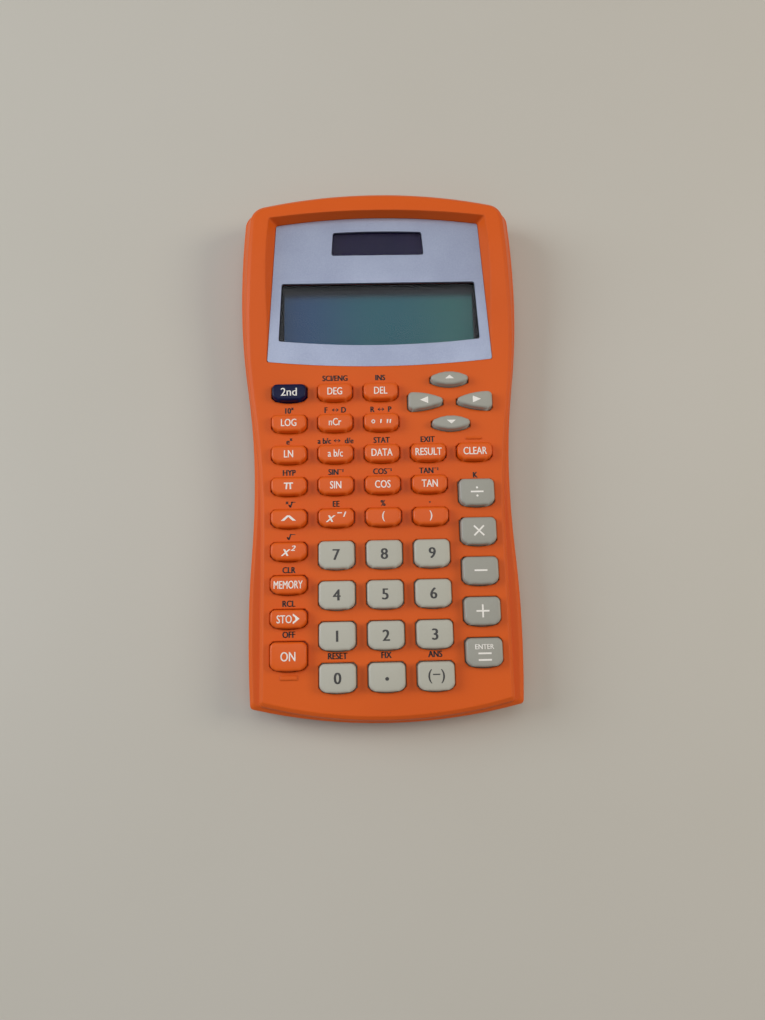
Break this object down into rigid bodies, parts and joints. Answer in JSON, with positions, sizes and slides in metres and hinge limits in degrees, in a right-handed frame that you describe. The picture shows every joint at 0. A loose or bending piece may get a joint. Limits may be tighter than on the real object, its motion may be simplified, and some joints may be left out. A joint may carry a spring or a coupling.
{
  "type": "scientific calculator",
  "caption": "Pocket scientific calculator: waisted two-part casing, sloping silver display panel with solar cell, rubber-dome keypad with separate travelling keys.",
  "frame": {"origin": "centre of the resting plane under the four rubber feet", "axes": "+Z out of the key face, +Y towards the display end, +X to the right of the keypad"},
  "size_m": [0.0812, 0.155, 0.0146],
  "materials": {
    "orange_plastic": "fine matte moulded texture",
    "rear_plastic": "fine matte moulded texture",
    "silver_panel": "satin silver lacquer",
    "clear_lens": "clear polished",
    "solar_glass": "dark glass with fine cell lines",
    "lcd_glass": "reflective grey-green liquid crystal",
    "black_plastic": "matte black",
    "zebra_rubber": "striped silicone",
    "board_green": "solder mask",
    "membrane_rubber": "matte silicone",
    "cell_steel": "bright steel",
    "contact_metal": "nickel-plated spring steel",
    "lead_insulation": "plastic insulation",
    "screw_steel": "black zinc",
    "foot_rubber": "matte rubber",
    "number_keys": "fine matte",
    "operator_keys": "fine matte",
    "function_keys": "fine matte",
    "second_key": "fine matte"
  },
  "bodies": {
    "casing": {"battery_contacts": "contact_metal", "board_screws": "screw_steel", "button_cell": "cell_steel", "case_screws": "screw_steel", "circuit_board": "board_green", "display_bezel": "silver_panel", "display_lens": "clear_lens", "front_housing": "orange_plastic", "key_membrane": "membrane_rubber", "lcd_frame": "black_plastic", "lcd_panel": "lcd_glass", "rear_housing": "rear_plastic", "rubber_feet": "foot_rubber", "solar_cell": "solar_glass", "solar_leads": "lead_insulation", "zebra_connector": "zebra_rubber"},
    "key_0": {"key_0": "number_keys"},
    "key_1": {"key_1": "number_keys"},
    "key_2": {"key_2": "number_keys"},
    "key_3": {"key_3": "number_keys"},
    "key_4": {"key_4": "number_keys"},
    "key_5": {"key_5": "number_keys"},
    "key_6": {"key_6": "number_keys"},
    "key_7": {"key_7": "number_keys"},
    "key_8": {"key_8": "number_keys"},
    "key_9": {"key_9": "number_keys"},
    "key_add": {"key_add": "operator_keys"},
    "key_angle_mode": {"key_angle_mode": "function_keys"},
    "key_clear": {"key_clear": "function_keys"},
    "key_close_bracket": {"key_close_bracket": "function_keys"},
    "key_cos": {"key_cos": "function_keys"},
    "key_data": {"key_data": "function_keys"},
    "key_decimal": {"key_decimal": "number_keys"},
    "key_degrees_minutes": {"key_degrees_minutes": "function_keys"},
    "key_delete": {"key_delete": "function_keys"},
    "key_divide": {"key_divide": "operator_keys"},
    "key_down": {"key_down": "operator_keys"},
    "key_enter": {"key_enter": "operator_keys"},
    "key_fraction": {"key_fraction": "function_keys"},
    "key_left": {"key_left": "operator_keys"},
    "key_ln": {"key_ln": "function_keys"},
    "key_log": {"key_log": "function_keys"},
    "key_memory_list": {"key_memory_list": "function_keys"},
    "key_multiply": {"key_multiply": "operator_keys"},
    "key_negate": {"key_negate": "number_keys"},
    "key_on": {"key_on": "function_keys"},
    "key_open_bracket": {"key_open_bracket": "function_keys"},
    "key_pi": {"key_pi": "function_keys"},
    "key_power": {"key_power": "function_keys"},
    "key_probability": {"key_probability": "function_keys"},
    "key_reciprocal": {"key_reciprocal": "function_keys"},
    "key_right": {"key_right": "operator_keys"},
    "key_second": {"key_second": "second_key"},
    "key_sin": {"key_sin": "function_keys"},
    "key_square": {"key_square": "function_keys"},
    "key_stat_results": {"key_stat_results": "function_keys"},
    "key_store": {"key_store": "function_keys"},
    "key_subtract": {"key_subtract": "operator_keys"},
    "key_tan": {"key_tan": "function_keys"},
    "key_up": {"key_up": "operator_keys"}
  },
  "joints": [
    {"name": "key_0_press", "type": "slide", "parent": "casing", "child": "key_0", "axis": [0, 0, -1], "range_m": [0, 0.001], "stiffness_N_per_m": 600, "deforming": ["key_membrane"]},
    {"name": "key_1_press", "type": "slide", "parent": "casing", "child": "key_1", "axis": [0, 0, -1], "range_m": [0, 0.001], "stiffness_N_per_m": 600, "deforming": ["key_membrane"]},
    {"name": "key_2_press", "type": "slide", "parent": "casing", "child": "key_2", "axis": [0, 0, -1], "range_m": [0, 0.001], "stiffness_N_per_m": 600, "deforming": ["key_membrane"]},
    {"name": "key_3_press", "type": "slide", "parent": "casing", "child": "key_3", "axis": [0, 0, -1], "range_m": [0, 0.001], "stiffness_N_per_m": 600, "deforming": ["key_membrane"]},
    {"name": "key_4_press", "type": "slide", "parent": "casing", "child": "key_4", "axis": [0, 0, -1], "range_m": [0, 0.001], "stiffness_N_per_m": 600, "deforming": ["key_membrane"]},
    {"name": "key_5_press", "type": "slide", "parent": "casing", "child": "key_5", "axis": [0, 0, -1], "range_m": [0, 0.001], "stiffness_N_per_m": 600, "deforming": ["key_membrane"]},
    {"name": "key_6_press", "type": "slide", "parent": "casing", "child": "key_6", "axis": [0, 0, -1], "range_m": [0, 0.001], "stiffness_N_per_m": 600, "deforming": ["key_membrane"]},
    {"name": "key_7_press", "type": "slide", "parent": "casing", "child": "key_7", "axis": [0, 0, -1], "range_m": [0, 0.001], "stiffness_N_per_m": 600, "deforming": ["key_membrane"]},
    {"name": "key_8_press", "type": "slide", "parent": "casing", "child": "key_8", "axis": [0, 0, -1], "range_m": [0, 0.001], "stiffness_N_per_m": 600, "deforming": ["key_membrane"]},
    {"name": "key_9_press", "type": "slide", "parent": "casing", "child": "key_9", "axis": [0, 0, -1], "range_m": [0, 0.001], "stiffness_N_per_m": 600, "deforming": ["key_membrane"]},
    {"name": "key_add_press", "type": "slide", "parent": "casing", "child": "key_add", "axis": [0, 0, -1], "range_m": [0, 0.001], "stiffness_N_per_m": 600, "deforming": ["key_membrane"]},
    {"name": "key_angle_mode_press", "type": "slide", "parent": "casing", "child": "key_angle_mode", "axis": [0, 0, -1], "range_m": [0, 0.001], "stiffness_N_per_m": 600, "deforming": ["key_membrane"]},
    {"name": "key_clear_press", "type": "slide", "parent": "casing", "child": "key_clear", "axis": [0, 0, -1], "range_m": [0, 0.001], "stiffness_N_per_m": 600, "deforming": ["key_membrane"]},
    {"name": "key_close_bracket_press", "type": "slide", "parent": "casing", "child": "key_close_bracket", "axis": [0, 0, -1], "range_m": [0, 0.001], "stiffness_N_per_m": 600, "deforming": ["key_membrane"]},
    {"name": "key_cos_press", "type": "slide", "parent": "casing", "child": "key_cos", "axis": [0, 0, -1], "range_m": [0, 0.001], "stiffness_N_per_m": 600, "deforming": ["key_membrane"]},
    {"name": "key_data_press", "type": "slide", "parent": "casing", "child": "key_data", "axis": [0, 0, -1], "range_m": [0, 0.001], "stiffness_N_per_m": 600, "deforming": ["key_membrane"]},
    {"name": "key_decimal_press", "type": "slide", "parent": "casing", "child": "key_decimal", "axis": [0, 0, -1], "range_m": [0, 0.001], "stiffness_N_per_m": 600, "deforming": ["key_membrane"]},
    {"name": "key_degrees_minutes_press", "type": "slide", "parent": "casing", "child": "key_degrees_minutes", "axis": [0, 0, -1], "range_m": [0, 0.001], "stiffness_N_per_m": 600, "deforming": ["key_membrane"]},
    {"name": "key_delete_press", "type": "slide", "parent": "casing", "child": "key_delete", "axis": [0, 0, -1], "range_m": [0, 0.001], "stiffness_N_per_m": 600, "deforming": ["key_membrane"]},
    {"name": "key_divide_press", "type": "slide", "parent": "casing", "child": "key_divide", "axis": [0, 0, -1], "range_m": [0, 0.001], "stiffness_N_per_m": 600, "deforming": ["key_membrane"]},
    {"name": "key_down_press", "type": "slide", "parent": "casing", "child": "key_down", "axis": [0, 0, -1], "range_m": [0, 0.001], "stiffness_N_per_m": 600, "deforming": ["key_membrane"]},
    {"name": "key_enter_press", "type": "slide", "parent": "casing", "child": "key_enter", "axis": [0, 0, -1], "range_m": [0, 0.001], "stiffness_N_per_m": 600, "deforming": ["key_membrane"]},
    {"name": "key_fraction_press", "type": "slide", "parent": "casing", "child": "key_fraction", "axis": [0, 0, -1], "range_m": [0, 0.001], "stiffness_N_per_m": 600, "deforming": ["key_membrane"]},
    {"name": "key_left_press", "type": "slide", "parent": "casing", "child": "key_left", "axis": [0, 0, -1], "range_m": [0, 0.001], "stiffness_N_per_m": 600, "deforming": ["key_membrane"]},
    {"name": "key_ln_press", "type": "slide", "parent": "casing", "child": "key_ln", "axis": [0, 0, -1], "range_m": [0, 0.001], "stiffness_N_per_m": 600, "deforming": ["key_membrane"]},
    {"name": "key_log_press", "type": "slide", "parent": "casing", "child": "key_log", "axis": [0, 0, -1], "range_m": [0, 0.001], "stiffness_N_per_m": 600, "deforming": ["key_membrane"]},
    {"name": "key_memory_list_press", "type": "slide", "parent": "casing", "child": "key_memory_list", "axis": [0, 0, -1], "range_m": [0, 0.001], "stiffness_N_per_m": 600, "deforming": ["key_membrane"]},
    {"name": "key_multiply_press", "type": "slide", "parent": "casing", "child": "key_multiply", "axis": [0, 0, -1], "range_m": [0, 0.001], "stiffness_N_per_m": 600, "deforming": ["key_membrane"]},
    {"name": "key_negate_press", "type": "slide", "parent": "casing", "child": "key_negate", "axis": [0, 0, -1], "range_m": [0, 0.001], "stiffness_N_per_m": 600, "deforming": ["key_membrane"]},
    {"name": "key_on_press", "type": "slide", "parent": "casing", "child": "key_on", "axis": [0, 0, -1], "range_m": [0, 0.001], "stiffness_N_per_m": 600, "deforming": ["key_membrane"]},
    {"name": "key_open_bracket_press", "type": "slide", "parent": "casing", "child": "key_open_bracket", "axis": [0, 0, -1], "range_m": [0, 0.001], "stiffness_N_per_m": 600, "deforming": ["key_membrane"]},
    {"name": "key_pi_press", "type": "slide", "parent": "casing", "child": "key_pi", "axis": [0, 0, -1], "range_m": [0, 0.001], "stiffness_N_per_m": 600, "deforming": ["key_membrane"]},
    {"name": "key_power_press", "type": "slide", "parent": "casing", "child": "key_power", "axis": [0, 0, -1], "range_m": [0, 0.001], "stiffness_N_per_m": 600, "deforming": ["key_membrane"]},
    {"name": "key_probability_press", "type": "slide", "parent": "casing", "child": "key_probability", "axis": [0, 0, -1], "range_m": [0, 0.001], "stiffness_N_per_m": 600, "deforming": ["key_membrane"]},
    {"name": "key_reciprocal_press", "type": "slide", "parent": "casing", "child": "key_reciprocal", "axis": [0, 0, -1], "range_m": [0, 0.001], "stiffness_N_per_m": 600, "deforming": ["key_membrane"]},
    {"name": "key_right_press", "type": "slide", "parent": "casing", "child": "key_right", "axis": [0, 0, -1], "range_m": [0, 0.001], "stiffness_N_per_m": 600, "deforming": ["key_membrane"]},
    {"name": "key_second_press", "type": "slide", "parent": "casing", "child": "key_second", "axis": [0, 0, -1], "range_m": [0, 0.001], "stiffness_N_per_m": 600, "deforming": ["key_membrane"]},
    {"name": "key_sin_press", "type": "slide", "parent": "casing", "child": "key_sin", "axis": [0, 0, -1], "range_m": [0, 0.001], "stiffness_N_per_m": 600, "deforming": ["key_membrane"]},
    {"name": "key_square_press", "type": "slide", "parent": "casing", "child": "key_square", "axis": [0, 0, -1], "range_m": [0, 0.001], "stiffness_N_per_m": 600, "deforming": ["key_membrane"]},
    {"name": "key_stat_results_press", "type": "slide", "parent": "casing", "child": "key_stat_results", "axis": [0, 0, -1], "range_m": [0, 0.001], "stiffness_N_per_m": 600, "deforming": ["key_membrane"]},
    {"name": "key_store_press", "type": "slide", "parent": "casing", "child": "key_store", "axis": [0, 0, -1], "range_m": [0, 0.001], "stiffness_N_per_m": 600, "deforming": ["key_membrane"]},
    {"name": "key_subtract_press", "type": "slide", "parent": "casing", "child": "key_subtract", "axis": [0, 0, -1], "range_m": [0, 0.001], "stiffness_N_per_m": 600, "deforming": ["key_membrane"]},
    {"name": "key_tan_press", "type": "slide", "parent": "casing", "child": "key_tan", "axis": [0, 0, -1], "range_m": [0, 0.001], "stiffness_N_per_m": 600, "deforming": ["key_membrane"]},
    {"name": "key_up_press", "type": "slide", "parent": "casing", "child": "key_up", "axis": [0, 0, -1], "range_m": [0, 0.001], "stiffness_N_per_m": 600, "deforming": ["key_membrane"]}
  ]
}
